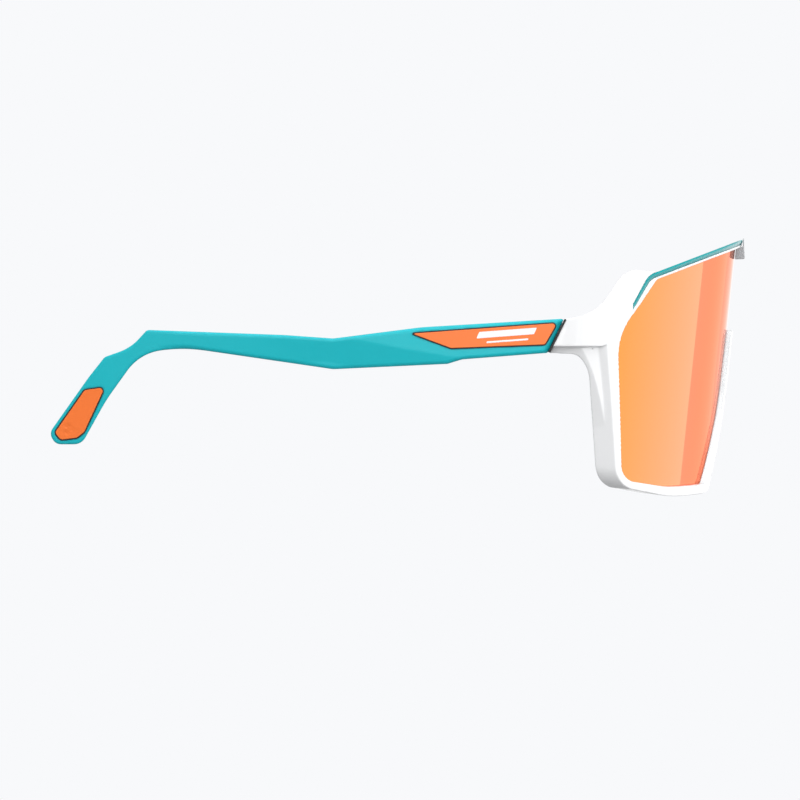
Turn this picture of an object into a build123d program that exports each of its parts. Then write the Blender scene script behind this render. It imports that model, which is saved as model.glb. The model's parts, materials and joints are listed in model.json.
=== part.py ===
from build123d import *
import math
import os

# Wraparound sport sunglasses, in millimetres.
# The parts are drawn in the worn frame: X across, Y from the face's front to the ears, Z up,
# with the origin between the two hinges. The whole model is then tilted until the rim and the
# temple tips both rest on Z = 0.

# ---- lens and front ----
LENS_RADIUS = 86.8  # front surface, a cylinder
LENS_THICKNESS = 1.8
FRONT_TILT = 6.0  # degrees: the top of the lens leans forward
FRONT_Y = -41.65  # front of the lens, at hinge height
LIP_FRONT = 1.45  # rim standing proud of the lens
RIM_BACK = 1.4  # rim behind the lens
LENS_TUCK = 0.8  # lens edge hidden in the groove
GROOVE_PLAY = 0.1
OUTER_RADIUS = LENS_RADIUS + LIP_FRONT
INNER_RADIUS = LENS_RADIUS - LENS_THICKNESS - RIM_BACK
WRAP_ANGLE = 48.2  # degrees round the lens where the rim turns into the side wing
WING_TURN_RADIUS = 19.2
WING_THICKNESS = 4.4
PANEL_FRONT = -13.6  # front end of the wing panel's lower edge
PANEL_BOTTOM = -2.35
UNDERSIDE_INSET = 1.3  # wing underside set back from the panel
UNDERSIDE_FRONT = -15.0
UNDERSIDE_END = -23.0  # height where the underside has run out into the side of the rim
BROW_STRIP_HEIGHT = 1.2
BROW_STRIP_DEPTH = 1.2
BROW_STRIP_PROUD = 0.1
BROW_SLOPE = -0.382  # rise per millimetre towards the ears
BROW_REFERENCE = (-25.85, 16.37)  # a point of the flat brow top, from the side
BROW_END = -24.9  # where the brow top gives way to the wing
BROW_WALL = 1.85  # height of the rim over the opening, down to a cut that slopes like the brow
BROW_STRIP_START = 0.4  # half the gap between the two strips in the middle
BROW_STRIP_FRONT = -46.5  # the strips' side view starts in front of the brow
BROW_STRIP_TURN = (-22.7, -23.2)  # where their upper and lower edges turn down

# ---- temples and hinges ----
HINGE_X = 65.8
HINGE_Y = 0.7
TEMPLE_OUTER_X = 70.8
TEMPLE_THICKNESS = 4.2
TEMPLE_CURVE_START = 8.0
TEMPLE_CURVE = 375.0  # plan radius
TEMPLE_REAR = 126.0
JOINT_TOP = (-2.0, 4.5)  # front end of the temple, from the side
JOINT_BOTTOM = (2.05, -3.9)
JOINT_GAP = 0.45
KNUCKLE_RADIUS = 1.7
KNUCKLE_RELIEF = 2.1
SCREW_RADIUS = 0.7
SCREW_PLAY = 0.05
SCREW_HEAD_RADIUS = 1.15
SCREW_HEAD_HEIGHT = 0.8
KNUCKLE_HEIGHTS = {"lower": (-3.1, -1.2), "middle": (-0.85, 1.15), "upper": (1.5, 3.4)}
WASHER_THICKNESS = 0.28
CORE_WIDTH = 2.0
CORE_THICKNESS = 1.0
CORE_DEPTH = 1.5  # below the temple's outer face
BADGE_DEPTH = 0.8
BADGE_PROUD = 0.3
TIP_PAD_PROUD = 0.3

# ---- nose pads, in the front's own frame: behind the lens front, which leans with FRONT_TILT ----
PAD_PIVOT_X = 8.4
PAD_PIVOT_Y = 8.6
PAD_PIVOT_TOP = -5.2
WIRE_RADIUS = 0.6
WIRE_PLAY = 0.05
PAD_CENTRE = (11.6, 14.6, -13.8)
PAD_LENGTH = 14.0
PAD_WIDTH = 7.4
PAD_THICKNESS = 2.6

# ---- how it stands on a table: on the bottom of the rim and on the temple tips ----
RIM_CONTACT = (-27.0, -38.9)
TIP_CONTACT = (121.5, -26.26)

FRONT = Pos(0, FRONT_Y, 0) * Rot(X=FRONT_TILT)
REACH = 200.0  # longer than anything that a cutter has to pass through


def prism_along_x(outline, low=-REACH, high=REACH):
    """A side outline, drawn as (y, z), made solid from x = low to x = high."""
    return extrude(Plane.YZ.offset(low) * outline, amount=high - low, dir=(1, 0, 0))


def prism_along_y(outline, low=-60.0, high=60.0):
    """A front outline, drawn as (x, z), made solid from y = low to y = high."""
    return extrude(Plane.XZ.offset(-high) * outline, amount=high - low, dir=(0, -1, 0))


def prism_along_z(outline, low=-REACH, high=REACH):
    """A plan outline, drawn as (x, y), made solid from z = low to z = high."""
    return extrude(Plane.XY.offset(low) * outline, amount=high - low, dir=(0, 0, 1))


def rounded(points, radii):
    """A closed outline with one corner radius for each point, 0 for a sharp corner."""
    return make_face(FilletPolyline(*points, radius=radii, close=True))


def lens_shell(outer, inner):
    """The upright cylindrical shell between two radii about the lens's axis."""
    ring = Circle(outer) - Circle(inner)
    return Pos(0, LENS_RADIUS, -REACH / 2) * extrude(ring, amount=REACH)


def both_halves(outline):
    """A half outline and its mirror image, as one face."""
    return outline + mirror(outline, about=Plane.YZ)


def half_outline(points):
    """A half outline from (x, z, corner radius) points that start and end on x = 0, and its mirror."""
    corners = [(x, z) for x, z, _ in points]
    radii = [radius for _, _, radius in points[1:-1]]
    edges = FilletPolyline(*corners, radius=radii) + Line(corners[-1], corners[0])
    return both_halves(make_face(edges))


def opening_outline():
    """The lens as it shows inside the rim, from the front: crowned brow, square sides, nose arch."""
    return half_outline(
        [
            (0, 22.2, 0),
            (29.3, 22.2, 140),
            (55.5, 12.3, 3.0),
            (64.3, -2.2, 16),
            (59.5, -37.5, 4.2),
            (44.5, -38.1, 60),
            (21.8, -36.3, 3.0),
            (7.0, -14.3, 36),
            (4.4, 1.8, 1.8),
            (0, 1.8, 0),
        ]
    )


def rim_outline():
    """The rim's outer edge from the front, round the sides, the bottom and the nose arch."""
    return half_outline(
        [
            (0, 40.0, 0),
            (66.4, 40.0, 0),
            (66.4, -6.0, 20),
            (60.8, -39.3, 6),
            (43.5, -40.4, 60),
            (18.6, -38.4, 4),
            (6.4, -20.0, 50),
            (1.9, -9.2, 1.6),
            (0, -9.2, 0),
        ]
    )


def wall_outline(inset=0.0):
    """Plan of the whole wall: rim arc in front, a tighter turn, then the straight wing to the hinge.

    The outer face can be set back by an inset."""
    wrap = math.radians(WRAP_ANGLE)
    end = math.radians(86.0)
    centre = (0, LENS_RADIUS)
    turn_centre = (
        (OUTER_RADIUS - WING_TURN_RADIUS) * math.sin(wrap),
        LENS_RADIUS - (OUTER_RADIUS - WING_TURN_RADIUS) * math.cos(wrap),
    )

    def on_arc(middle, radius, angle):
        return (middle[0] + radius * math.sin(angle), middle[1] - radius * math.cos(angle))

    face_radius = OUTER_RADIUS - inset
    turn_radius = WING_TURN_RADIUS - inset
    inside_turn = WING_TURN_RADIUS - WING_THICKNESS
    wing_front = on_arc(turn_centre, turn_radius, end)
    wing_back = (wing_front[0] + 0.6, wing_front[1] + 16.0)
    inside_front = on_arc(turn_centre, inside_turn, end)
    inside_back = (wing_back[0] - WING_THICKNESS + inset, wing_back[1])
    outer = [
        ThreePointArc(
            (0, inset - LIP_FRONT),
            on_arc(centre, face_radius, wrap / 2),
            on_arc(centre, face_radius, wrap),
        ),
        ThreePointArc(
            on_arc(turn_centre, turn_radius, wrap),
            on_arc(turn_centre, turn_radius, (wrap + end) / 2),
            wing_front,
        ),
        Line(wing_front, wing_back),
        Line(wing_back, inside_back),
        Line(inside_back, inside_front),
    ]
    inner_join = on_arc(centre, INNER_RADIUS, wrap)
    inner = [
        ThreePointArc(
            inside_front,
            on_arc(turn_centre, inside_turn, (wrap + end) / 2),
            on_arc(turn_centre, inside_turn, wrap),
        ),
        Line(on_arc(turn_centre, inside_turn, wrap), inner_join),
        ThreePointArc(
            inner_join, on_arc(centre, INNER_RADIUS, wrap / 2), (0, LENS_RADIUS - INNER_RADIUS)
        ),
        Line((0, LENS_RADIUS - INNER_RADIUS), (0, inset - LIP_FRONT)),
    ]
    return both_halves(make_face(Wire(outer + inner)))


def brow_height(y):
    """Height of the flat brow top at a distance y, in the worn frame."""
    return BROW_REFERENCE[1] + BROW_SLOPE * (y - BROW_REFERENCE[0])


def front_side_outline():
    """The front from the side: brow, wing, slanted lug end, rear edge of the rim, bottom."""
    lug_top = (JOINT_TOP[0] - JOINT_GAP, JOINT_TOP[1] + 0.05)
    lug_bottom = (JOINT_BOTTOM[0] - JOINT_GAP, JOINT_BOTTOM[1] - 0.1)
    edges = [
        Line((-55, brow_height(-55)), (BROW_END, brow_height(BROW_END))),
        Line((BROW_END, brow_height(BROW_END)), (-20.6, 16.3)),
        Spline((-20.6, 16.3), (-17.0, 15.6), (-14.0, 12.0), (-10.8, 7.8), (-6.6, 5.3), lug_top),
        Line(lug_top, lug_bottom),
        Line(lug_bottom, (-3.2, -4.1)),
        Spline((-3.2, -4.1), (-6.6, -5.9), (-8.2, -10.6), tangents=((-1, 0), (-0.06, -1))),
        Line((-8.2, -10.6), (-9.6, -31.0)),
        Spline((-9.6, -31.0), (-11.6, -35.8), (-16.5, -37.8), tangents=((-0.06, -1), (-1, -0.2))),
        Line((-16.5, -37.8), (-16.5, -50)),
        Line((-16.5, -50), (-55, -50)),
        Line((-55, -50), (-55, brow_height(-55))),
    ]
    return make_face(Wire(edges))


def under_brow(depth):
    """Everything lower than a plane that slopes like the brow top, at a depth below it."""
    front, back, floor = -60, 0, -60
    corners = [
        (front, brow_height(front) - depth),
        (back, brow_height(back) - depth),
        (back, floor),
        (front, floor),
    ]
    return prism_along_x(Polygon(*corners, align=None))


def lens_opening():
    """The hole in the front that shows the lens."""
    return FRONT * prism_along_y(opening_outline()) & under_brow(BROW_WALL)


def brow_strip_outline():
    """Side view of the teal inlay: it follows the brow top, then turns down and tapers."""
    upper_turn, lower_turn = BROW_STRIP_TURN
    points = [
        (BROW_STRIP_FRONT, brow_height(BROW_STRIP_FRONT)),
        (upper_turn, brow_height(upper_turn)),
        (-18.7, 7.7),
        (-19.4, 7.6),
        (lower_turn, brow_height(lower_turn) - BROW_STRIP_HEIGHT),
        (BROW_STRIP_FRONT, brow_height(BROW_STRIP_FRONT) - BROW_STRIP_HEIGHT),
    ]
    return rounded(points, [0, 4.5, 0.25, 0.25, 3.5, 0])


def panel_outline():
    """Side view of the smooth outer panel of the wing, down to its lower edge."""
    corner = (PANEL_FRONT, PANEL_BOTTOM)
    return rounded([(PANEL_FRONT, 30), corner, (10, PANEL_BOTTOM), (10, 30)], [0, 3.0, 0, 0])


def underside_outline():
    """The wing's underside from the front: it leans in until it meets the side of the rim."""
    corners = [(0, 3.0), (70.0, 3.0), (68.6, -2.0), (62.9, UNDERSIDE_END), (0, UNDERSIDE_END)]
    return both_halves(Polygon(*corners, align=None))


def front_blank():
    """The white front before anything is let into it: rim, wing panels and their set-back underside."""
    wall = prism_along_z(wall_outline())
    rim = FRONT * (wall & prism_along_y(rim_outline()))
    panels = FRONT * wall & prism_along_x(panel_outline())
    underside = FRONT * prism_along_z(wall_outline(UNDERSIDE_INSET))
    underside &= block(-80, 80, UNDERSIDE_FRONT, 10, UNDERSIDE_END, PANEL_BOTTOM + 0.5)
    underside &= prism_along_y(underside_outline())
    return (rim + panels + underside) & prism_along_x(front_side_outline())


def front_frame():
    """White front: the blank less the opening, the lens groove and every seat for another piece."""
    groove = lens_shell(LENS_RADIUS + GROOVE_PLAY, LENS_RADIUS - LENS_THICKNESS - GROOVE_PLAY)
    groove &= prism_along_y(offset(opening_outline(), LENS_TUCK + GROOVE_PLAY))
    groove = FRONT * groove & under_brow(BROW_WALL - LENS_TUCK - GROOVE_PLAY)
    body = front_blank() - lens_opening() - groove - brow_clip()
    for seat in (brow_strip(), hinge_block(), hinge_relief()):
        body -= seat
        body -= mirrored(seat)
    return body


def shield_lens():
    """One cylindrical shield, its edge tucked into the groove all round."""
    shell = lens_shell(LENS_RADIUS, LENS_RADIUS - LENS_THICKNESS)
    shield = FRONT * (shell & prism_along_y(offset(opening_outline(), LENS_TUCK)))
    return shield & under_brow(BROW_WALL - LENS_TUCK)


def brow_strip():
    """Glossy inlay along one half of the brow, standing slightly proud of it."""
    shell = lens_shell(OUTER_RADIUS + BROW_STRIP_PROUD, OUTER_RADIUS - BROW_STRIP_DEPTH)
    return FRONT * shell & prism_along_x(brow_strip_outline(), BROW_STRIP_START, 70.0)


def brow_clip():
    """Small block on the middle of the lens's top edge, with a thin plate up the front of the brow."""
    side = rounded(
        [(-43.8, 19.0), (-46.3, 19.1), (-46.07, 24.2), (-45.78, 24.2), (-45.78, 22.1), (-44.08, 21.8)],
        [0.2, 0.3, 0.1, 0.1, 0, 0],
    )
    front = Polygon((-5.6, 26.0), (5.6, 26.0), (3.4, 18.0), (-3.4, 18.0), align=None)
    return prism_along_x(side, -8.0, 8.0) & prism_along_y(front)


def barrel(radius, low, high, x=HINGE_X, y=HINGE_Y):
    """An upright cylinder about the hinge axis, or about another upright axis."""
    return Pos(x, y, (low + high) / 2) * Cylinder(radius, high - low)


def block(x_low, x_high, y_low, y_high, z_low, z_high):
    """A box given by its limits."""
    size = Box(x_high - x_low, y_high - y_low, z_high - z_low)
    return Pos((x_low + x_high) / 2, (y_low + y_high) / 2, (z_low + z_high) / 2) * size


def hinge_relief():
    """Room for the turning knuckles in the lug and in the front end of the temple."""
    return barrel(KNUCKLE_RELIEF, -6.0, 6.0)


def hinge_block():
    """Metal hinge half moulded into the lug, with the lower and upper knuckles."""
    low = KNUCKLE_HEIGHTS["lower"][0]
    high = KNUCKLE_HEIGHTS["upper"][1]
    body = block(65.0, 67.2, -9.0, -1.7, low, high)
    for name in ("lower", "upper"):
        bottom, top = KNUCKLE_HEIGHTS[name]
        body += barrel(KNUCKLE_RADIUS, bottom, top)
        body += block(HINGE_X - 0.8, HINGE_X + 0.8, -1.8, HINGE_Y, bottom, top)
    return body - hinge_screw_body()


def hinge_screw_body():
    """Pin with a low round head let into the upper knuckle."""
    high = KNUCKLE_HEIGHTS["upper"][1]
    shank = barrel(SCREW_RADIUS, KNUCKLE_HEIGHTS["lower"][0], high)
    return shank + barrel(SCREW_HEAD_RADIUS, high - SCREW_HEAD_HEIGHT, high)


def hinge_screw():
    """The hinge screw, with the driver slot across its head."""
    high = KNUCKLE_HEIGHTS["upper"][1]
    slot = block(HINGE_X - 2, HINGE_X + 2, HINGE_Y - 0.16, HINGE_Y + 0.16, high - 0.4, high + 1)
    return hinge_screw_body() - slot


def hinge_washers():
    """Two thin washers, one under and one over the temple's knuckle."""
    lower = KNUCKLE_HEIGHTS["lower"][1]
    upper = KNUCKLE_HEIGHTS["upper"][0]
    rings = []
    for bottom in (lower, upper - WASHER_THICKNESS):
        ring = barrel(KNUCKLE_RADIUS - 0.15, bottom, bottom + WASHER_THICKNESS)
        rings.append(ring - barrel(SCREW_RADIUS + SCREW_PLAY, bottom, bottom + WASHER_THICKNESS))
    return Compound(rings)


def hinge_leaf():
    """Metal hinge half on the temple's inner face, with the middle knuckle."""
    bottom, top = KNUCKLE_HEIGHTS["middle"]
    body = barrel(KNUCKLE_RADIUS, bottom, top)
    body += block(HINGE_X - 0.6, HINGE_X + 1.0, HINGE_Y, 3.4, bottom, top)
    body += block(HINGE_X - 0.6, HINGE_X + 1.6, 3.3, 13.0, -2.7, 2.7)
    return body - barrel(SCREW_RADIUS + SCREW_PLAY, bottom, top)


def temple_skin(outer_depth, inner_depth):
    """Plan band between two depths below the temple's outer face: straight, then curving inwards."""
    front, straight, rear = -8.0, TEMPLE_CURVE_START, TEMPLE_REAR
    middle = (straight + rear) / 2

    def curved_in(x, y):
        return x - TEMPLE_CURVE + math.sqrt(TEMPLE_CURVE**2 - (y - straight) ** 2)

    def rear_arc(x):
        points = [(curved_in(x, y), y) for y in (straight, middle, rear)]
        return ThreePointArc(*points)

    outer = TEMPLE_OUTER_X - outer_depth
    inner = TEMPLE_OUTER_X - inner_depth
    edges = [
        Line((outer, front), (outer, straight)),
        rear_arc(outer),
        Line((curved_in(outer, rear), rear), (curved_in(inner, rear), rear)),
        rear_arc(inner),
        Line((inner, straight), (inner, front)),
        Line((inner, front), (outer, front)),
    ]
    return make_face(Wire(edges))


def temple_side_outline():
    """Side view of the temple: tapering front, shallow V, slim middle, steep drop to a round tip."""
    points = [
        (JOINT_TOP, 0.3),
        ((33.0, 2.4), 40),
        ((54.6, -0.35), 3),
        ((66.5, 0.5), 40),
        ((100.2, 1.75), 1.0),
        ((104.2, -2.65), 12),
        ((110.6, -4.9), 1.6),
        ((114.6, -10.0), 12),
        ((124.2, -23.6), 2.2),
        ((122.6, -26.3), 2.2),
        ((116.2, -26.3), 3.2),
        ((110.2, -15.5), 40),
        ((101.9, -3.9), 12),
        ((91.0, -2.6), 38),
        ((54.6, -7.9), 3),
        ((26.6, -6.6), 0.8),
        ((23.0, -5.5), 0.8),
        (JOINT_BOTTOM, 0.3),
    ]
    return rounded([point for point, _ in points], [radius for _, radius in points])


def badge_outline():
    """Slanted plate on the front of the temple, from the side."""
    return rounded([(35.4, 0.86), (-0.37, 3.43), (2.7, -1.84), (25.7, -2.74)], [0.12, 0.7, 0.7, 1.0])


def tip_pad_outline():
    """Grip in the temple tip, from the side."""
    return rounded(
        [(115.5, -13.0), (110.5, -12.3), (115.6, -23.3), (117.4, -24.7), (121.4, -25.2), (122.8, -23.4)],
        [1.2, 0.8, 2.0, 1.2, 1.2, 0.9],
    )


def core_outline():
    """Side view of the flat strip that runs inside the temple."""
    path = FilletPolyline(
        (14.0, -0.4), (54.6, -4.0), (88.0, -0.7), (101.0, -2.4), (107.4, -9.0), radius=[12, 12, 8]
    )
    return trace(path, line_width=CORE_WIDTH)


def temple_badge():
    """Plate let into the temple's outer face."""
    return prism_along_x(badge_outline()) & prism_along_z(temple_skin(-BADGE_PROUD, BADGE_DEPTH))


def tip_pad():
    """Rubber grip that passes right through the temple tip."""
    band = temple_skin(-TIP_PAD_PROUD, TEMPLE_THICKNESS + TIP_PAD_PROUD)
    return prism_along_x(tip_pad_outline()) & prism_along_z(band)


def temple_core():
    """Bendable metal strip half-way through the temple's thickness."""
    band = temple_skin(CORE_DEPTH, CORE_DEPTH + CORE_THICKNESS)
    return prism_along_x(core_outline()) & prism_along_z(band)


def temple():
    """Moulded arm with seats for the badge, the grip, the core and the hinge leaf."""
    arm = prism_along_x(temple_side_outline()) & prism_along_z(temple_skin(0, TEMPLE_THICKNESS))
    for seat in (temple_badge(), tip_pad(), temple_core(), hinge_leaf(), hinge_relief()):
        arm -= seat
    return arm


def nose_carrier():
    """Arched clip on the back of the bridge, with a bored ear for each pad's wire."""
    leg = Polygon(
        (0, -1.5), (4.3, -1.5), (5.0, -8.0), (9.4, -17.2), (7.0, -17.6), (2.9, -10.4), (0, -7.6), align=None
    )
    arch = prism_along_y(leg) & block(-1, 20, 0, 5.6, -30, 10)
    ear = block(3.6, PAD_PIVOT_X + 1.5, 3.0, PAD_PIVOT_Y + 1.5, -9.6, -6.6)
    ear = fillet(ear.edges().filter_by(Axis.Z).group_by(Axis.Y)[-1], 1.4)
    side = arch + ear - lens_shell(OUTER_RADIUS, INNER_RADIUS)
    side -= barrel(WIRE_RADIUS + WIRE_PLAY, -20, 10, PAD_PIVOT_X, PAD_PIVOT_Y)
    return FRONT * (side + mirrored(side))


def nose_wire():
    """Round wire: an upright pivot through the ear, then back into the pad."""
    elbow = (PAD_PIVOT_X, PAD_PIVOT_Y, -13.0)
    path = FilletPolyline(
        (PAD_PIVOT_X, PAD_PIVOT_Y, PAD_PIVOT_TOP), elbow, (11.0, 13.2, -13.4), radius=1.4
    )
    start = Plane(origin=(PAD_PIVOT_X, PAD_PIVOT_Y, PAD_PIVOT_TOP), z_dir=(0, 0, -1))
    return FRONT * sweep(start * Circle(WIRE_RADIUS), path=path)


def nose_pad():
    """Soft oval pad, splayed to lie along the side of the nose."""
    oval = extrude(Ellipse(PAD_WIDTH / 2, PAD_LENGTH / 2), amount=PAD_THICKNESS / 2, both=True)
    oval = fillet(oval.edges(), 1.0)
    placed = Pos(*PAD_CENTRE) * Rot(Z=-28) * Rot(Y=90) * Rot(Z=90)
    tilted = Pos(*PAD_CENTRE) * Rot(Y=-16) * Pos(*[-value for value in PAD_CENTRE]) * placed
    return FRONT * tilted * oval - nose_wire()


def mirrored(part):
    """The same piece on the other side of the face."""
    return mirror(part, about=Plane.YZ)


def all_pieces():
    """Every piece in the worn frame, by its name. The wearer's left is at positive X."""
    pieces = {
        "front_frame": front_frame(),
        "shield_lens": shield_lens(),
        "brow_clip": brow_clip(),
        "nose_carrier": nose_carrier(),
    }
    one_side = {
        "brow_strip": brow_strip(),
        "hinge_block": hinge_block(),
        "hinge_screw": hinge_screw(),
        "hinge_washers": hinge_washers(),
        "hinge_leaf": hinge_leaf(),
        "temple": temple(),
        "temple_core": temple_core(),
        "temple_badge": temple_badge(),
        "tip_pad": tip_pad(),
        "nose_wire": nose_wire(),
        "nose_pad": nose_pad(),
    }
    for name, piece in one_side.items():
        pieces[name + "_left"] = piece
        pieces[name + "_right"] = mirrored(piece)
    return pieces


def standing(pieces):
    """The pieces as they rest on a table, with the origin under the middle of their box."""
    rise = TIP_CONTACT[1] - RIM_CONTACT[1]
    run = TIP_CONTACT[0] - RIM_CONTACT[0]
    tilt = Rot(X=-math.degrees(math.atan2(rise, run)))
    tilted = {name: tilt * piece for name, piece in pieces.items()}
    box = Compound(list(tilted.values())).bounding_box()
    middle = Pos(-box.center().X, -box.center().Y, -box.min.Z)
    return {name: middle * piece for name, piece in tilted.items()}


os.makedirs("parts", exist_ok=True)
for name, piece in standing(all_pieces()).items():
    export_step(piece, f"parts/{name}.step")
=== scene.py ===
"""Wraparound sport sunglasses: the looks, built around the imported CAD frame.

Shapes are made in the worn frame, in millimetres: X across with the wearer's left at +X, Y from
the front back to the ears, Z up, and the origin between the two hinges. WORN turns that into the
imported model's frame, in metres, where the glasses stand on the rim and on the temple tips.
"""

import json
import math

import bmesh
import bpy
import numpy as np
from mathutils import Matrix, Vector
from mathutils.bvhtree import BVHTree


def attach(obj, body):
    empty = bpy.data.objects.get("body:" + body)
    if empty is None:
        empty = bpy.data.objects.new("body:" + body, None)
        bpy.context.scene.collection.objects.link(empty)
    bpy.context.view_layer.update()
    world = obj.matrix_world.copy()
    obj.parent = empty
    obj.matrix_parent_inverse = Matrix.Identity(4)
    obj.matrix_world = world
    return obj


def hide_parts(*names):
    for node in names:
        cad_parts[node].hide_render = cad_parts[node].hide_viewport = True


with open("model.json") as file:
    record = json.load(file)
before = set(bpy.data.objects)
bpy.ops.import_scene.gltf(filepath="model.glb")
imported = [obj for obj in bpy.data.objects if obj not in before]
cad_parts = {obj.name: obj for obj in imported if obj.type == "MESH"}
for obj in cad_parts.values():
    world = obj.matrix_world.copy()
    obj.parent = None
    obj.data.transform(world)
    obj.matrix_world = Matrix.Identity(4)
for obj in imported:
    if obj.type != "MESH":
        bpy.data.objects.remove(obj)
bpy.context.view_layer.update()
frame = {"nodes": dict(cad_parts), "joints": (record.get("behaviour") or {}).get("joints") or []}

MM = 0.001  # in metres

# ---- sizes shared with the CAD model, in millimetres ----
HINGE_X = 65.8
HINGE_Y = 0.7
LENS_RADIUS = 86.8
LENS_THICKNESS = 1.8
FRONT_TILT = 6.0
FRONT_Y = -41.65
TEMPLE_OUTER_X = 70.8
TEMPLE_THICKNESS = 4.2
TEMPLE_CURVE_START = 8.0
TEMPLE_CURVE = 375.0
BADGE_DEPTH = 0.8
BADGE_PROUD = 0.3
TIP_PAD_PROUD = 0.3
# The arm's main corners, the badge and the grip, as (y, z) or (y, z, radius) seen from the side.
TEMPLE_TOP = [(-2.0, 4.5), (33.0, 2.4), (54.6, -0.35), (66.5, 0.5), (100.2, 1.75)]
TEMPLE_BOTTOM = [(2.05, -3.9), (23.0, -5.5), (26.6, -6.6), (54.6, -7.9), (91.0, -2.6)]
JOINT_TOP = Vector((-2.0, 4.5))
JOINT_BOTTOM = Vector((2.05, -3.9))
JOINT_GAP = 0.45
BADGE_OUTLINE = [(35.4, 0.86, 0.12), (-0.37, 3.43, 0.7), (2.7, -1.84, 0.7), (25.7, -2.74, 1.0)]
TIP_PAD_OUTLINE = [
    (115.5, -13.0, 1.2),
    (110.5, -12.3, 0.8),
    (115.6, -23.3, 2.0),
    (117.4, -24.7, 1.2),
    (121.4, -25.2, 1.2),
    (122.8, -23.4, 0.9),
]

OUTER_RADIUS = 88.25  # front face of the rim
BROW_SLOPE = -0.382
BROW_REFERENCE = (-25.85, 16.37)
BROW_STRIP_HEIGHT = 1.2
BROW_STRIP_DEPTH = 1.2
BROW_STRIP_START = 0.4
BROW_STRIP_FRONT = -46.5
BROW_STRIP_TURN = (-22.7, -23.2)  # where the upper and lower edges turn down
BROW_STRIP_TIP = (-19.05, 7.55)

# ---- the look of the moulded arm ----
SMALLEST_ROUNDING = 0.15
SHADE_LINE_WIDTH = 0.28  # width of the dark line of painted shade round the badge and the grip, where a groove would hold shade
SHADE_LINE_PROUD = 0.18  # how far that line stands above the arm's flat skin
TIP_MARK = (119.6, -22.6)
TIP_MARK_RADIUS = 1.0
TIP_MARK_GROOVE = 0.14  # depth of the mark's ring
TIP_MARK_DISH = 0.06  # depth of the shallow dish inside the ring
TIP_MARK_LINE = 0.2  # half the width of the ring
CREASE = [(24.0, -5.1), (38.2, -2.7), (56.0, 0.9)]  # ridge between the two outer facets
UPPER_FACET_SLOPE = 0.05
LOWER_FACET_SLOPE = 0.13
EDGE_BAND = 0.6  # height of the bevels along the arm's edges
EDGE_SLOPE = 0.55
END_BAND = 1.3  # width of the bevel along the arm's slanted front end
UPPER_FACET_END = 58.0  # each facet and bevel fades out towards its end, over a length
UPPER_FACET_FADE = 6.0
LOWER_FACET_END = 100.0
LOWER_FACET_FADE = 40.0
LOWER_FACET_DEEPEST = 0.9
BEVEL_END = 98.0
BEVEL_FADE = 8.0
BAR_MARKS = [(4.6, 19.6, 0.95, 1.7), (6.6, 17.2, -0.95, 0.55)]  # from, to, height, width
BAR_LEAN = 0.45  # sideways lean of a bar's ends, as a share of its width
BAR_DEPTH = 0.25

# ---- the look of the front ----
LENS_EDGE = 0.25  # bevel round the lens
LENS_ROWS = 24
LENS_COLUMNS = 360
STRIP_PROUD = 0.15  # how far the brow line stands above the rim, a little more than in the CAD model
STRIP_CROWN = 0.35  # how far the edges of the brow line drop below its middle
STRIP_ROUNDINGS = (4.5, 3.5)  # where its upper and lower edges turn down
STRIP_TIP_ENDS = (0.42, -0.48)  # from the tip's middle to the upper and lower edge
STRIP_STEPS = 320
GAP_SHADE_ROOT = 0.15  # how far the dark strip of painted shade in the joint gap reaches into the lug
GAP_SHADE_PLAY = 0.04  # gap between the strip and the arm
GAP_SHADE_SHORT = 0.1  # how much it stops short at the top and bottom
GAP_SHADE_INNER_X = HINGE_X + 2.4
GAP_SHADE_PROUD = 0.2

# ---- camera and light ----
VIEW_WIDTH = 0.196
VIEW_CENTRE = Vector((0, 38.22, -15.435))  # in the worn frame
CAMERA_DISTANCE = 0.9
BACKDROP = (0.939, 0.947, 0.965)
ROOM_REFLECTION = (0.5, 0.505, 0.515)
ROOM_ABOVE = (0.56, 0.565, 0.575)
ROOM_BELOW = (0.38, 0.38, 0.385)
PANEL_Y = -0.75  # upright panels in front of the lens, turned towards it
PANEL_HEIGHT = 0.7
PANEL_MIDDLE_Z = 0.05
NEAR_PANEL_EDGE = -0.45  # where the panel for the front view gives way to the one for this view
PANEL_EDGE = 0.58  # where the bright panel gives way to the dimmer one
PANEL_REACH = 1.6  # how far the panels go to each side, where an end panel closes the room
END_PANEL_Y = -0.37
END_PANEL_DEPTH = 0.76
FLOOR_RADIUS = 6.0


def worn_matrix():
    """Places the worn frame, in millimetres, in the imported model's frame, in metres."""
    hinge = next(joint for joint in frame["joints"] if joint["name"] == "left_fold")
    up = Vector(hinge["axis"]).normalized()
    side = Vector((1, 0, 0))
    back = up.cross(side)
    turn = Matrix((side, back, up)).transposed().to_4x4()
    origin = Vector(hinge["pos_m"]) - MM * (HINGE_X * side + HINGE_Y * back)
    return Matrix.Translation(origin) @ turn @ Matrix.Scale(MM, 4)


WORN = worn_matrix()
FRONT = WORN @ Matrix.Translation((0, FRONT_Y, 0)) @ Matrix.Rotation(math.radians(FRONT_TILT), 4, "X")


# ---------------------------------------------------------------- materials


def new_material(name, colour, roughness, **sockets):
    """A Principled material and its node tree. Extra sockets are given by name, with _ for a space."""
    material = bpy.data.materials.new(name)
    material.use_nodes = True
    shader = material.node_tree.nodes["Principled BSDF"]
    shader.inputs["Base Color"].default_value = (*colour, 1)
    shader.inputs["Roughness"].default_value = roughness
    for socket, value in sockets.items():
        shader.inputs[socket.replace("_", " ")].default_value = value
    material.diffuse_color = (*colour, 1)
    return material


def noise(tree, scale, detail=4.0):
    """Object-space noise of so many bumps to the metre."""
    place = tree.nodes.new("ShaderNodeTexCoord")
    texture = tree.nodes.new("ShaderNodeTexNoise")
    texture.inputs["Scale"].default_value = scale
    texture.inputs["Detail"].default_value = detail
    tree.links.new(place.outputs["Object"], texture.inputs["Vector"])
    return texture.outputs["Fac"]


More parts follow.
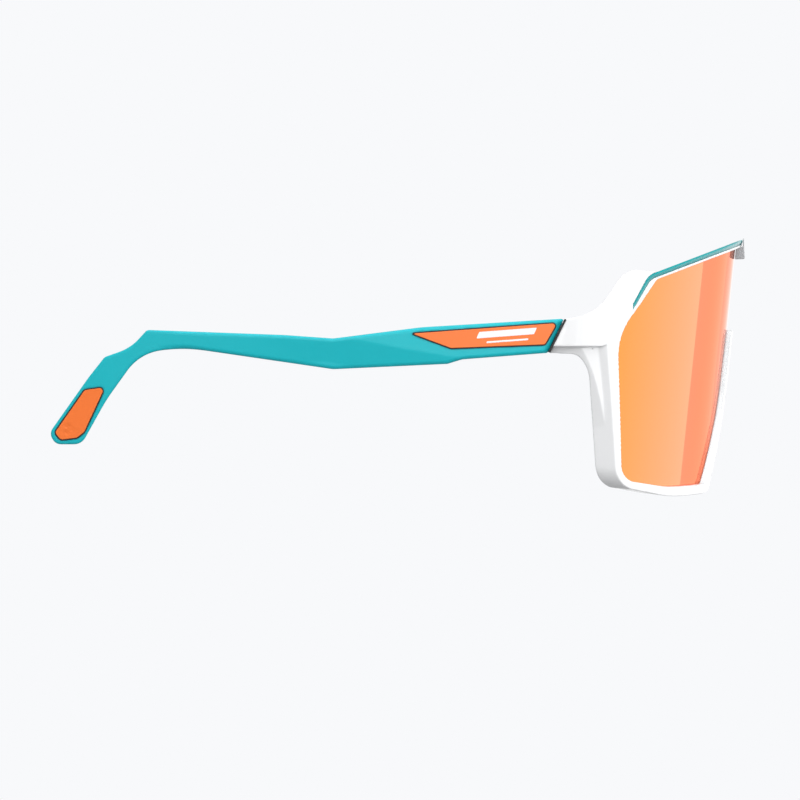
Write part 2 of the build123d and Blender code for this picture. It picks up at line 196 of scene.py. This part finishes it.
def blend_colours(tree, factor, first, second):
    """A colour that runs from first to second as the factor goes from 0 to 1."""
    mix = tree.nodes.new("ShaderNodeMix")
    mix.data_type = "RGBA"
    mix.inputs[6].default_value = (*first, 1)
    mix.inputs[7].default_value = (*second, 1)
    tree.links.new(factor, mix.inputs[0])
    return mix.outputs[2]


def spread(tree, factor, low, high, start=0.3, stop=0.7):
    """The factor, taken from the range start to stop, mapped to low to high."""
    node = tree.nodes.new("ShaderNodeMapRange")
    node.inputs["From Min"].default_value = start
    node.inputs["From Max"].default_value = stop
    node.inputs["To Min"].default_value = low
    node.inputs["To Max"].default_value = high
    tree.links.new(factor, node.inputs["Value"])
    return node.outputs["Result"]


def add_grain(material, scale, strength, distance=0.00002):
    """Fine surface texture as bump."""
    tree = material.node_tree
    bump = tree.nodes.new("ShaderNodeBump")
    bump.inputs["Strength"].default_value = strength
    bump.inputs["Distance"].default_value = distance
    tree.links.new(noise(tree, scale), bump.inputs["Height"])
    tree.links.new(bump.outputs["Normal"], tree.nodes["Principled BSDF"].inputs["Normal"])


def moulded(name, colour, shade, roughness, grain, strength, **sockets):
    """Moulded plastic or rubber: colour that drifts a little, uneven gloss and a fine grain."""
    material = new_material(name, colour, roughness, **sockets)
    tree = material.node_tree
    shader = tree.nodes["Principled BSDF"]
    drift = noise(tree, 90.0, 3.0)
    tint = tuple(channel * shade for channel in colour)
    tree.links.new(blend_colours(tree, drift, colour, tint), shader.inputs["Base Color"])
    gloss = spread(tree, noise(tree, 700.0), roughness * 0.85, roughness * 1.15)
    tree.links.new(gloss, shader.inputs["Roughness"])
    add_grain(material, grain, strength)
    return material


def brushed_metal(name, colour, roughness):
    """Turned or tumbled steel, with fine marks and patches of duller metal."""
    material = new_material(name, colour, roughness, Metallic=1.0)
    tree = material.node_tree
    shader = tree.nodes["Principled BSDF"]
    dull = tuple(channel * 0.7 for channel in colour)
    tree.links.new(blend_colours(tree, noise(tree, 1500.0), colour, dull), shader.inputs["Base Color"])
    marks = spread(tree, noise(tree, 2600.0, 6.0), roughness * 0.7, roughness * 1.5)
    tree.links.new(marks, shader.inputs["Roughness"])
    add_grain(material, 5200.0, 0.25)
    return material


def mirror_coating():
    """Orange mirror coating on the lens front: its hue changes across the lens as a painted reflection
    colour, standing in for the coating's change of hue with the angle it is seen at, with faint streaks
    from wiping.
    """
    material = new_material(
        "orange_mirror", (1.0, 0.25, 0.1), 0.04, Metallic=0.9, Specular_Tint=(1.0, 0.7, 0.55, 1)
    )
    tree = material.node_tree
    shader = tree.nodes["Principled BSDF"]
    place = tree.nodes.new("ShaderNodeTexCoord")
    axes = tree.nodes.new("ShaderNodeSeparateXYZ")
    tree.links.new(place.outputs["Object"], axes.inputs["Vector"])
    across = tree.nodes.new("ShaderNodeMath")
    across.operation = "ABSOLUTE"
    tree.links.new(axes.outputs["X"], across.inputs[0])
    colours = tree.nodes.new("ShaderNodeValToRGB")
    # painted reflection colour: these hues across the lens stand in for the mirror coating's change of hue
    # with viewing angle
    middle, brow, side = (1.0, 0.155, 0.052, 1), (1.0, 0.228, 0.132, 1), (1.0, 0.188, 0.043, 1)
    colours.color_ramp.elements[0].color = middle
    colours.color_ramp.elements[1].color = side
    colours.color_ramp.elements.new(0.53).color = brow
    tree.links.new(spread(tree, across.outputs["Value"], 0, 1, 0.005, 0.062), colours.inputs["Fac"])
    tree.links.new(colours.outputs["Color"], shader.inputs["Base Color"])
    wiping = spread(tree, noise(tree, 160.0, 5.0), 0.03, 0.05)
    tree.links.new(wiping, shader.inputs["Roughness"])
    return material


def tinted_back():
    """Smoky bronze of the lens seen from behind."""
    material = new_material("lens_back", (0.10, 0.055, 0.04), 0.08, Coat_Weight=0.4)
    tree = material.node_tree
    shader = tree.nodes["Principled BSDF"]
    colour = blend_colours(tree, noise(tree, 60.0, 2.0), (0.12, 0.062, 0.045), (0.085, 0.046, 0.036))
    tree.links.new(colour, shader.inputs["Base Color"])
    return material


LOW_SHEEN = {"Specular_IOR_Level": 0.25}
MATERIALS = {
    "white": moulded("white_gloss", (0.88, 0.885, 0.89), 0.97, 0.2, 2400.0, 0.05, Coat_Weight=0.35),
    "teal_arm": moulded("teal_satin", (0.010, 0.50, 0.565), 0.95, 0.36, 3800.0, 0.18, **LOW_SHEEN),
    "teal_gloss": moulded("teal_gloss", (0.010, 0.33, 0.345), 0.92, 0.18, 1600.0, 0.04, **LOW_SHEEN),
    "orange_badge": moulded("orange_enamel", (1.0, 0.205, 0.036), 0.95, 0.22, 2000.0, 0.06, **LOW_SHEEN),
    "orange_rubber": moulded("orange_rubber", (1.0, 0.21, 0.038), 0.96, 0.5, 4200.0, 0.2, **LOW_SHEEN),
    # painted shade: this near-black stands in for the shade in the grooves round the badge and the grip,
    # and deep in the joint gaps
    "shade_line": moulded("painted_shade_line", (0.014, 0.013, 0.013), 0.8, 0.6, 4200.0, 0.3),
    # painted shade: the brow block's grey stands in for the shade on its sideways and downward faces
    "grey_clip": moulded("grey_clip", (0.60, 0.60, 0.61), 0.94, 0.34, 3000.0, 0.15),
    "nose_rubber": moulded("nose_rubber", (0.045, 0.05, 0.055), 0.85, 0.55, 4000.0, 0.3),
    "nylon": moulded("nylon", (0.75, 0.75, 0.72), 0.95, 0.4, 3000.0, 0.1),
    "hinge_metal": brushed_metal("hinge_steel", (0.62, 0.62, 0.63), 0.28),
    "screw_metal": brushed_metal("screw_steel", (0.45, 0.45, 0.46), 0.22),
    "core_metal": brushed_metal("core_steel", (0.55, 0.55, 0.55), 0.35),
    "mirror": mirror_coating(),
    "lens_back": tinted_back(),
}


# ---------------------------------------------------------------- meshes


def coordinates(mesh):
    """The mesh's vertices as an array."""
    values = np.zeros(len(mesh.vertices) * 3, np.float32)
    mesh.vertices.foreach_get("co", values)
    return values.reshape(-1, 3)


def set_coordinates(mesh, points):
    """Moves the mesh's vertices to these points."""
    mesh.vertices.foreach_set("co", points.astype(np.float32).ravel())
    mesh.update()


def keep_largest_shell(shape):
    """Deletes every closed shell but the largest, so that no hidden cavity is left."""
    shape.verts.ensure_lookup_table()
    unseen = set(shape.verts)
    shells = []
    while unseen:
        first = unseen.pop()
        shell, front = [first], [first]
        while front:
            vertex = front.pop()
            for edge in vertex.link_edges:
                other = edge.other_vert(vertex)
                if other in unseen:
                    unseen.remove(other)
                    shell.append(other)
                    front.append(other)
        shells.append(shell)
    shells.sort(key=len)
    for shell in shells[:-1]:
        bmesh.ops.delete(shape, geom=shell, context="VERTS")


def remeshed(mesh, voxel, passes, one_shell=False, keep=1.0):
    """A finely and evenly meshed copy, with its sharp edges softened by so many smoothing passes.

    Only a share of its triangles is kept."""
    holder = bpy.data.objects.new("remeshing", mesh)
    bpy.context.scene.collection.objects.link(holder)
    remesh = holder.modifiers.new("remesh", "REMESH")
    remesh.mode = "VOXEL"
    remesh.voxel_size = voxel
    soften = holder.modifiers.new("soften", "SMOOTH")
    soften.factor = 0.5
    soften.iterations = passes
    if keep < 1:
        thin_out = holder.modifiers.new("thin_out", "DECIMATE")
        thin_out.ratio = keep
    ready = holder.evaluated_get(bpy.context.evaluated_depsgraph_get())
    fine = bpy.data.meshes.new_from_object(ready)
    bpy.data.objects.remove(holder)
    if one_shell:
        shape = bmesh.new()
        shape.from_mesh(fine)
        keep_largest_shell(shape)
        shape.to_mesh(fine)
        shape.free()
    return fine


def cad_mesh(node):
    """A copy of a CAD node's mesh, in worn millimetres, with its doubled vertices joined."""
    mesh = frame["nodes"][node].data.copy()
    mesh.materials.clear()
    mesh.transform(WORN.inverted())
    shape = bmesh.new()
    shape.from_mesh(mesh)
    bmesh.ops.remove_doubles(shape, verts=shape.verts, dist=0.001)
    shape.to_mesh(mesh)
    shape.free()
    return mesh


def mirrored(mesh):
    """The mesh on the other side of the face."""
    other = mesh.copy()
    other.transform(Matrix.Scale(-1, 4, (1, 0, 0)))
    other.flip_normals()
    return other


def add_piece(name, mesh, materials, body, nodes, place=WORN):
    """Puts a finished mesh in the scene, riding on a body in place of CAD nodes."""
    mesh.transform(place)
    for material in materials:
        mesh.materials.append(MATERIALS[material])
    mesh.shade_smooth()
    piece = bpy.data.objects.new(name, mesh)
    bpy.context.scene.collection.objects.link(piece)
    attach(piece, body)
    if nodes:
        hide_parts(*nodes)
    return piece


def rounded_corner(before, corner, after, radius, steps=6):
    """Points of the arc that rounds one corner of an outline."""
    a, b = (before - corner).normalized(), (after - corner).normalized()
    half = a.angle(b) / 2
    reach = radius / math.tan(half)
    centre = corner + (a + b).normalized() * (radius / math.sin(half))
    start, stop = corner + a * reach - centre, corner + b * reach - centre
    turn = start.angle_signed(stop)
    return [centre + Matrix.Rotation(-turn * i / steps, 2) @ start for i in range(steps + 1)]


def outline_points(corners, inset=0.0):
    """A closed outline from (y, z, radius) corners, drawn smaller by an inset, or larger if negative."""
    points = [Vector(corner[:2]) for corner in corners]
    count = len(points)
    area = sum(points[i - 1].cross(points[i]) for i in range(count))
    inward = inset if area > 0 else -inset
    moved = []
    for i in range(count):
        a, b, c = points[i - 1], points[i], points[(i + 1) % count]
        first, second = (b - a).normalized(), (c - b).normalized()
        normals = [Vector((-d.y, d.x)) * inward for d in (first, second)]
        half = (normals[0] + normals[1]) / 2
        moved.append(b + half * (inset**2 / half.length_squared if inset else 0))
    outline = []
    for i in range(count):
        radius = max(corners[i][2] - inset, SMALLEST_ROUNDING)
        outline += rounded_corner(moved[i - 1], moved[i], moved[(i + 1) % count], radius)
    return outline


def slab(corners, inset, low, high):
    """A flat plate with an outline in (y, z), from x = low to x = high."""
    shape = bmesh.new()
    points = outline_points(corners, inset)
    rings = [[shape.verts.new((x, p.x, p.y)) for p in points] for x in (low, high)]
    for i in range(len(points)):
        shape.faces.new((rings[0][i - 1], rings[0][i], rings[1][i], rings[1][i - 1]))
    for ring in rings:
        shape.faces.new(ring)
    bmesh.ops.recalc_face_normals(shape, faces=shape.faces)
    mesh = bpy.data.meshes.new("slab")
    shape.to_mesh(mesh)
    shape.free()
    return mesh


def closed_loft(shape, rings, name, last_front=None):
    """A closed mesh through rings of equal length. Faces past last_front take the second material."""
    count = len(rings[0])
    last_front = count if last_front is None else last_front
    for ring, following in zip(rings, rings[1:]):
        for i in range(count):
            face = shape.faces.new((ring[i - 1], ring[i], following[i], following[i - 1]))
            face.material_index = int(i > last_front)
    shape.faces.new(rings[0])
    shape.faces.new(rings[-1])
    bmesh.ops.recalc_face_normals(shape, faces=shape.faces)
    mesh = bpy.data.meshes.new(name)
    shape.to_mesh(mesh)
    shape.free()
    return mesh


# ---------------------------------------------------------------- temples


def inward_curve(y):
    """How far the temple has curved in towards the head at a distance y behind the hinges."""
    run = np.clip(y - TEMPLE_CURVE_START, 0, None)
    return TEMPLE_CURVE - np.sqrt(TEMPLE_CURVE**2 - run**2)


def along(corners, y):
    """Height of a line through corners at a distance y."""
    return np.interp(y, [corner[0] for corner in corners], [corner[1] for corner in corners])


def soft_ramp(value, softness=0.12):
    """Zero below zero, the value above it, with a rounded bend between."""
    return (value + np.sqrt(value**2 + softness**2)) / 2


def fade_out(y, end, length):
    """One, falling to zero over a length before the end."""
    return np.clip((end - y) / length, 0, 1)


def facet_depth(y, z):
    """Depth of the faceted outer face below the temple's flat skin."""
    ridge = along(CREASE, y)
    rise = z - ridge
    upper = UPPER_FACET_SLOPE * soft_ramp(rise) * fade_out(y, UPPER_FACET_END, UPPER_FACET_FADE)
    lower = LOWER_FACET_SLOPE * soft_ramp(-rise) * fade_out(y, LOWER_FACET_END, LOWER_FACET_FADE)
    lower = np.minimum(lower, LOWER_FACET_DEEPEST)
    top = EDGE_SLOPE * soft_ramp(z - along(TEMPLE_TOP, y) + EDGE_BAND)
    bottom = EDGE_SLOPE * soft_ramp(along(TEMPLE_BOTTOM, y) + EDGE_BAND - z)
    bevels = (top + bottom) * fade_out(y, BEVEL_END, BEVEL_FADE)
    slant = (JOINT_BOTTOM - JOINT_TOP).normalized()
    behind = (y - JOINT_TOP.x) * -slant.y + (z - JOINT_TOP.y) * slant.x
    end = EDGE_SLOPE * soft_ramp(END_BAND - behind)
    return upper + lower + bevels + end


def straightened(mesh):
    """Takes the inward curve out of a left temple, so that its outer face is flat."""
    points = coordinates(mesh)
    points[:, 0] += inward_curve(points[:, 1])
    set_coordinates(mesh, points)


def faceted(mesh, whole=False):
    """Cuts the facets into the outer face, then puts the inward curve back."""
    points = coordinates(mesh)
    x, y, z = points.T
    middle = TEMPLE_OUTER_X - TEMPLE_THICKNESS / 2
    share = np.ones_like(x) if whole else np.clip((x - middle) / (TEMPLE_OUTER_X - middle), 0, 1)
    points[:, 0] = x - facet_depth(y, z) * share - inward_curve(y)
    set_coordinates(mesh, points)


def temple_mesh():
    """The left arm, with its facets and bevelled edges."""
    mesh = cad_mesh("temple_left")
    straightened(mesh)
    fine = remeshed(mesh, 0.3, 4, one_shell=True)
    faceted(fine)
    return fine


def badge_line(y, offset):
    """Height of a line on the badge, parallel to its long edges, above or below its middle."""
    first, last = BADGE_OUTLINE[1], BADGE_OUTLINE[2]
    middle = (first[1] + last[1]) / 2
    slope = (BADGE_OUTLINE[0][1] - first[1]) / (BADGE_OUTLINE[0][0] - first[0])
    return middle + slope * (y - (first[0] + last[0]) / 2) + offset


def bar_mark_mesh():
    """Two plain raised bars on the left badge, where a maker would put a name."""
    top = TEMPLE_OUTER_X + BADGE_PROUD
    whole = bmesh.new()
    for start, stop, offset, width in BAR_MARKS:
        lean = BAR_LEAN * width
        corners = [
            (start, badge_line(start, offset + width / 2), 0.2),
            (stop - lean, badge_line(stop, offset + width / 2), 0.2),
            (stop, badge_line(stop, offset - width / 2), 0.2),
            (start + lean, badge_line(start, offset - width / 2), 0.2),
        ]
        whole.from_mesh(slab(corners, 0, top - BAR_DEPTH, top))
    mesh = bpy.data.meshes.new("bars")
    whole.to_mesh(mesh)
    whole.free()
    bars = remeshed(mesh, 0.07, 2)
    faceted(bars, whole=True)
    return bars


def badge_meshes():
    """The left badge, and the dark rim round it that shows as a thin line: painted shade where a groove
    would be.
    """
    top = TEMPLE_OUTER_X + BADGE_PROUD - 0.02
    low = TEMPLE_OUTER_X - BADGE_DEPTH
    badge = remeshed(slab(BADGE_OUTLINE, 0.03, low + 0.1, top), 0.07, 5, keep=0.4)
    # the dark rim is painted shade, a thin line where a groove would hold shade
    shade_rim = remeshed(slab(BADGE_OUTLINE, -SHADE_LINE_WIDTH, low, TEMPLE_OUTER_X + SHADE_LINE_PROUD), 0.07, 3, keep=0.4)
    for mesh in (badge, shade_rim):
        faceted(mesh, whole=True)
    return badge, shade_rim


def engrave_ring(mesh):
    """Presses a plain round mark into the outer face of the left grip, and into the dark rim of painted
    shade below it.
    """
    points = coordinates(mesh)
    reach = np.hypot(points[:, 1] - TIP_MARK[0], points[:, 2] - TIP_MARK[1])
    outside = points[:, 0] > TEMPLE_OUTER_X - 0.5
    groove = TIP_MARK_GROOVE * np.exp(-(((reach - TIP_MARK_RADIUS) / TIP_MARK_LINE) ** 2))
    dish = TIP_MARK_DISH * (reach < TIP_MARK_RADIUS)
    points[:, 0] -= (groove + dish) * outside
    set_coordinates(mesh, points)


def tip_pad_meshes():
    """The left grip, through the tip, and the dark rim round it: painted shade where a groove would be."""
    low = TEMPLE_OUTER_X - TEMPLE_THICKNESS
    top = TEMPLE_OUTER_X
    proud = TIP_PAD_PROUD
    pad = remeshed(slab(TIP_PAD_OUTLINE, 0.03, low - proud, top + proud), 0.06, 8, keep=0.4)
    # the dark rim is painted shade, a thin line where a groove would hold shade
    shade_rim = remeshed(slab(TIP_PAD_OUTLINE, -SHADE_LINE_WIDTH, low - 0.15, top + SHADE_LINE_PROUD), 0.06, 5, keep=0.3)
    for mesh in (pad, shade_rim):
        engrave_ring(mesh)
        faceted(mesh, whole=True)
    return pad, shade_rim


def add_temples():
    """Both arms with their badges and grips."""
    arm = temple_mesh()
    bars = bar_mark_mesh()
    badge, badge_shade_rim = badge_meshes()
    pad, pad_shade_rim = tip_pad_meshes()
    parts = [
        ("arm_shell", arm, "teal_arm", "teal_arm", "temple"),
        ("badge_plate", badge, "orange_badge", "orange_badge", "temple_badge"),
        # the dark rims are painted shade round the badge and the grip
        ("badge_shade_rim", badge_shade_rim, "shade_line", "orange_badge", "temple_badge"),
        ("badge_bars", bars, "white", "white_frame", "temple_badge"),
        ("grip", pad, "orange_rubber", "orange_rubber", "tip_pad"),
        ("grip_shade_rim", pad_shade_rim, "shade_line", "orange_rubber", "tip_pad"),
    ]
    for name, mesh, material, slot, node in parts:
        for side in ("right", "left"):
            shown = mirrored(mesh) if side == "right" else mesh
            add_piece(f"{name}_{side}", shown, [material], f"{side}_arm", [f"{node}_{side}"])


# ---------------------------------------------------------------- front


def lens_limits(columns):
    """Lowest and highest point of the CAD lens, on its middle surface, in even steps round it."""
    mesh = frame["nodes"]["shield_lens"].data.copy()
    mesh.transform(FRONT.inverted())
    points = coordinates(mesh)
    tree = BVHTree.FromPolygons(points.tolist(), [tuple(face.vertices) for face in mesh.polygons])
    middle = LENS_RADIUS - LENS_THICKNESS / 2
    widest = math.asin(np.abs(points[:, 0]).max() / LENS_RADIUS) * 0.998
    limits = []
    for i in range(columns + 1):
        angle = widest * (2 * i / columns - 1)
        x, y = middle * math.sin(angle), LENS_RADIUS - middle * math.cos(angle)
        low = tree.ray_cast(Vector((x, y, -100)), Vector((0, 0, 1)))[0]
        high = tree.ray_cast(Vector((x, y, 100)), Vector((0, 0, -1)))[0]
        if low is not None and high is not None:
            limits.append((angle, low.z, high.z))
    bpy.data.meshes.remove(mesh)
    return limits


def lens_mesh():
    """The shield: a ruled cylinder with a mirror front and softened edges."""
    inner = LENS_RADIUS - LENS_THICKNESS
    shape = bmesh.new()
    rings = []
    for angle, low, high in lens_limits(LENS_COLUMNS):
        tall = high - low - 2 * LENS_EDGE
        run = [low + LENS_EDGE + tall * i / LENS_ROWS for i in range(LENS_ROWS + 1)]
        section = [(LENS_RADIUS, z) for z in run]
        section += [(LENS_RADIUS - LENS_EDGE, high), (inner + LENS_EDGE, high)]
        section += [(inner, z) for z in reversed(run)]
        section += [(inner + LENS_EDGE, low), (LENS_RADIUS - LENS_EDGE, low)]
        across, back = math.sin(angle), math.cos(angle)
        rings.append([shape.verts.new((r * across, LENS_RADIUS - r * back, z)) for r, z in section])
    return closed_loft(shape, rings, "shield", LENS_ROWS + 1)


def brow_height(y):
    """Height of the brow top, from the side."""
    return BROW_REFERENCE[1] + BROW_SLOPE * (y - BROW_REFERENCE[0])


def in_front_frame(point):
    """Reach and height, in the front's own frame, of a point drawn from the side."""
    placed = Matrix.Rotation(-math.radians(FRONT_TILT), 3, "X") @ Vector((0, point[0] - FRONT_Y, point[1]))
    return placed.y, placed.z


def side_curve(corners, radius):
    """Reaches and heights of a line through three corners drawn from the side, the second rounded."""
    first, corner, last = (Vector(point) for point in corners)
    line = [first, *rounded_corner(first, corner, last, radius, 24), last]
    return tuple(zip(*(in_front_frame(point) for point in line)))


def brow_strip_edge(i):
    """The brow line's upper edge, 0, or lower edge, 1, carried on past its tip."""
    drop = i * BROW_STRIP_HEIGHT
    turn = BROW_STRIP_TURN[i]
    start = (BROW_STRIP_FRONT, brow_height(BROW_STRIP_FRONT) - drop)
    corner = Vector((turn, brow_height(turn) - drop))
    end = Vector(BROW_STRIP_TIP) + Vector((STRIP_TIP_ENDS[i], 0))
    beyond = end + (end - corner).normalized() * 4
    return side_curve([start, corner, beyond], STRIP_ROUNDINGS[i])


def brow_strip_mesh():
    """The left brow line: a crowned strip let into the brow, turning down at its end and tapering."""
    upper, lower = (brow_strip_edge(i) for i in range(2))
    proud, deep = OUTER_RADIUS + STRIP_PROUD, OUTER_RADIUS - BROW_STRIP_DEPTH
    first = math.asin(BROW_STRIP_START / proud)
    last = math.acos((LENS_RADIUS - in_front_frame(BROW_STRIP_TIP)[0]) / proud)
    shape = bmesh.new()
    rings = []
    for i in range(STRIP_STEPS + 1):
        angle = first + (last - first) * i / STRIP_STEPS
        section = [(proud - STRIP_CROWN * share**2, (share + 1) / 2) for share in np.linspace(-1, 1, 13)]
        section += [(deep, 1), (deep, 0)]
        ring = []
        for radius, share in section:
            reach = LENS_RADIUS - radius * math.cos(angle)
            low, high = np.interp(reach, *lower), np.interp(reach, *upper)
            ring.append((radius * math.sin(angle), reach, low + share * (high - low)))
        rings.append([shape.verts.new(point) for point in ring])
    return closed_loft(shape, rings, "brow_line")


def gap_shade_strip_mesh():
    """Dark strip of painted shade in the gap between the left lug and the arm, on the lug's slanted end.
    """
    rooted = Vector((-JOINT_GAP - GAP_SHADE_ROOT, 0))
    play = Vector((-GAP_SHADE_PLAY, 0))
    top, bottom = JOINT_TOP - Vector((0, GAP_SHADE_SHORT)), JOINT_BOTTOM + Vector((0, GAP_SHADE_SHORT))
    corners = [top + rooted, top + play, bottom + play, bottom + rooted]
    outline = [(corner.x, corner.y, 0.05) for corner in corners]
    return remeshed(slab(outline, 0, GAP_SHADE_INNER_X, TEMPLE_OUTER_X + GAP_SHADE_PROUD), 0.08, 2)


def add_front():
    """Frame, lens, brow strips, the small moulded pieces of the front and the dark strips of painted shade
    in the joint gaps.
    """
    shell = remeshed(cad_mesh("front_frame"), 0.14, 14, keep=0.18)
    add_piece("front_shell", shell, ["white"], "front", ["front_frame"])
    lens = add_piece(
        "shield", lens_mesh(), ["mirror", "lens_back"], "front", ["shield_lens"], FRONT
    )
    lens.data.set_sharp_from_angle(angle=math.radians(35))
    lens.visible_diffuse = False  # throws no orange light on the rim
    # the block's grey colour is painted shade
    clip = remeshed(cad_mesh("brow_clip"), 0.15, 4)
    add_piece("brow_block", clip, ["grey_clip"], "front", ["brow_clip"])
    carrier = remeshed(cad_mesh("nose_carrier"), 0.2, 5)
    add_piece("nose_bridge", carrier, ["white"], "front", ["nose_carrier"])
    strip = brow_strip_mesh()
    gap_shade_strip = gap_shade_strip_mesh()
    for side in ("right", "left"):
        line = mirrored(strip) if side == "right" else strip
        nodes = [f"brow_strip_{side}"]
        shown = add_piece(f"brow_line_{side}", line, ["teal_gloss"], "front", nodes, FRONT)
        shown.data.set_sharp_from_angle(angle=math.radians(50))
        # a dark strip of painted shade fills each joint gap, where the gap would be dark with shade
        stop = mirrored(gap_shade_strip) if side == "right" else gap_shade_strip
        add_piece(f"joint_gap_shade_{side}", stop, ["shade_line"], "front", [])


# ---------------------------------------------------------------- small parts


def add_small_parts():
    """Hinge metal, screws, washers, pad wires and nose pads, each with softened edges."""
    parts = [
        ("hinge_block", "fixed_knuckles", "hinge_metal", "front", 0.13, 2),
        ("hinge_screw", "hinge_pin", "screw_metal", "front", 0.08, 1),
        ("hinge_washers", "washers", "nylon", "front", 0.07, 1),
        ("hinge_leaf", "turning_knuckle", "hinge_metal", "arm", 0.13, 2),
        ("nose_wire", "pad_wire", "hinge_metal", "nose_pad", 0.12, 2),
        ("nose_pad", "nose_cushion", "nose_rubber", "nose_pad", 0.25, 5),
    ]
    for node, name, material, body, voxel, passes in parts:
        fine = remeshed(cad_mesh(node + "_left"), voxel, passes)
        for side in ("right", "left"):
            shown = mirrored(fine) if side == "right" else fine
            rides_on = body if body == "front" else f"{side}_{body}"
            add_piece(f"{name}_{side}", shown, [material], rides_on, [f"{node}_{side}"])
    for side in ("left", "right"):
        core = frame["nodes"][f"temple_core_{side}"]
        core.data.materials.clear()
        core.data.materials.append(MATERIALS["core_metal"])


# ---------------------------------------------------------------- setting


def add_floor():
    """A plain pale floor."""
    bpy.ops.mesh.primitive_circle_add(vertices=96, radius=FLOOR_RADIUS, fill_type="NGON")
    floor = bpy.context.object
    floor.name = "floor"
    material = new_material("floor", (0.86, 0.865, 0.88), 0.6, Specular_IOR_Level=0.2)
    floor.data.materials.append(material)
    # The light and the reflections from below come from the world instead.
    floor.visible_diffuse = False
    floor.visible_glossy = False


def add_light(name, place, size, watts, target=(0, 0, 0.02)):
    """A soft rectangular light turned to the target. It isn't seen by the camera itself."""
    data = bpy.data.lights.new(name, "AREA")
    data.shape = "RECTANGLE"
    data.size, data.size_y = size
    data.energy = watts
    light = bpy.data.objects.new(name, data)
    light.location = place
    direction = Vector(target) - Vector(place)
    light.rotation_euler = direction.to_track_quat("-Z", "Y").to_euler()
    light.visible_camera = False
    bpy.context.scene.collection.objects.link(light)
    return light


def backdrop_colour(tree, colour):
    """An even world background."""
    background = tree.nodes.new("ShaderNodeBackground")
    background.inputs["Color"].default_value = (*colour, 1)
    return background


def add_world():
    """Studio light that fades towards the ground, even reflections, and a pale backdrop."""
    world = bpy.data.worlds.new("studio")
    world.use_nodes = True
    bpy.context.scene.world = world
    tree = world.node_tree
    shown = tree.nodes["Background"]
    shown.inputs["Color"].default_value = (*BACKDROP, 1)
    mirrored_room = backdrop_colour(tree, ROOM_REFLECTION)
    light = backdrop_colour(tree, ROOM_ABOVE)
    direction = tree.nodes.new("ShaderNodeTexCoord")
    axes = tree.nodes.new("ShaderNodeSeparateXYZ")
    tree.links.new(direction.outputs["Generated"], axes.inputs["Vector"])
    height = spread(tree, axes.outputs["Z"], 0.0, 1.0, -0.35, 0.25)
    tree.links.new(blend_colours(tree, height, ROOM_BELOW, ROOM_ABOVE), light.inputs["Color"])
    rays = tree.nodes.new("ShaderNodeLightPath")
    surface = light
    for kind, background in (("Is Glossy Ray", mirrored_room), ("Is Camera Ray", shown)):
        mix = tree.nodes.new("ShaderNodeMixShader")
        tree.links.new(rays.outputs[kind], mix.inputs["Fac"])
        tree.links.new(surface.outputs[0], mix.inputs[1])
        tree.links.new(background.outputs["Background"], mix.inputs[2])
        surface = mix
    tree.links.new(surface.outputs["Shader"], tree.nodes["World Output"].inputs["Surface"])


def add_lights():
    """Softboxes above, beside the camera and to the front, and panels for the lens to mirror."""
    add_light("overhead", (-0.25, 0.05, 0.85), (1.1, 1.1), 6.0)
    add_light("beside_camera", (-0.9, 0.15, 0.3), (0.7, 0.6), 3.0)
    add_light("front_key", (-0.6, -0.7, 0.4), (0.6, 0.5), 1.2)
    panels = [
        ("near_panel", -PANEL_REACH, NEAR_PANEL_EDGE, 4.4),
        ("lens_panel", NEAR_PANEL_EDGE, PANEL_EDGE, 4.0),
        ("far_panel", PANEL_EDGE, PANEL_REACH, 2.2),
    ]
    for name, left, right, watts in panels:
        middle = (left + right) / 2
        place, target = (middle, PANEL_Y, PANEL_MIDDLE_Z), (middle, 0, PANEL_MIDDLE_Z)
        panel = add_light(name, place, (right - left, PANEL_HEIGHT), watts, target)
        panel.visible_diffuse = name != "near_panel"  # only there to be mirrored in the lens
    for name, x in (("near_end_panel", -PANEL_REACH), ("far_end_panel", PANEL_REACH)):
        place, target = (x, END_PANEL_Y, PANEL_MIDDLE_Z), (0, END_PANEL_Y, PANEL_MIDDLE_Z)
        panel = add_light(name, place, (END_PANEL_DEPTH, PANEL_HEIGHT), 1.25, target)
        panel.visible_diffuse = x > 0


def add_camera():
    """Level camera at the wearer's right, rolled so that the hinge axis is upright in the picture."""
    data = bpy.data.cameras.new("camera")
    data.type = "ORTHO"
    data.ortho_scale = VIEW_WIDTH
    camera = bpy.data.objects.new("camera", data)
    bpy.context.scene.collection.objects.link(camera)
    back = Vector((-1, 0, 0))
    up = (WORN.to_3x3() @ Vector((0, 0, 1))).normalized()
    right = up.cross(back)
    turn = Matrix((right, up, back)).transposed().to_4x4()
    camera.matrix_world = Matrix.Translation(WORN @ VIEW_CENTRE + CAMERA_DISTANCE * back) @ turn
    bpy.context.scene.camera = camera
    bpy.context.scene.view_settings.view_transform = "Standard"


add_front()
add_temples()
add_small_parts()
add_floor()
add_world()
add_lights()
add_camera()
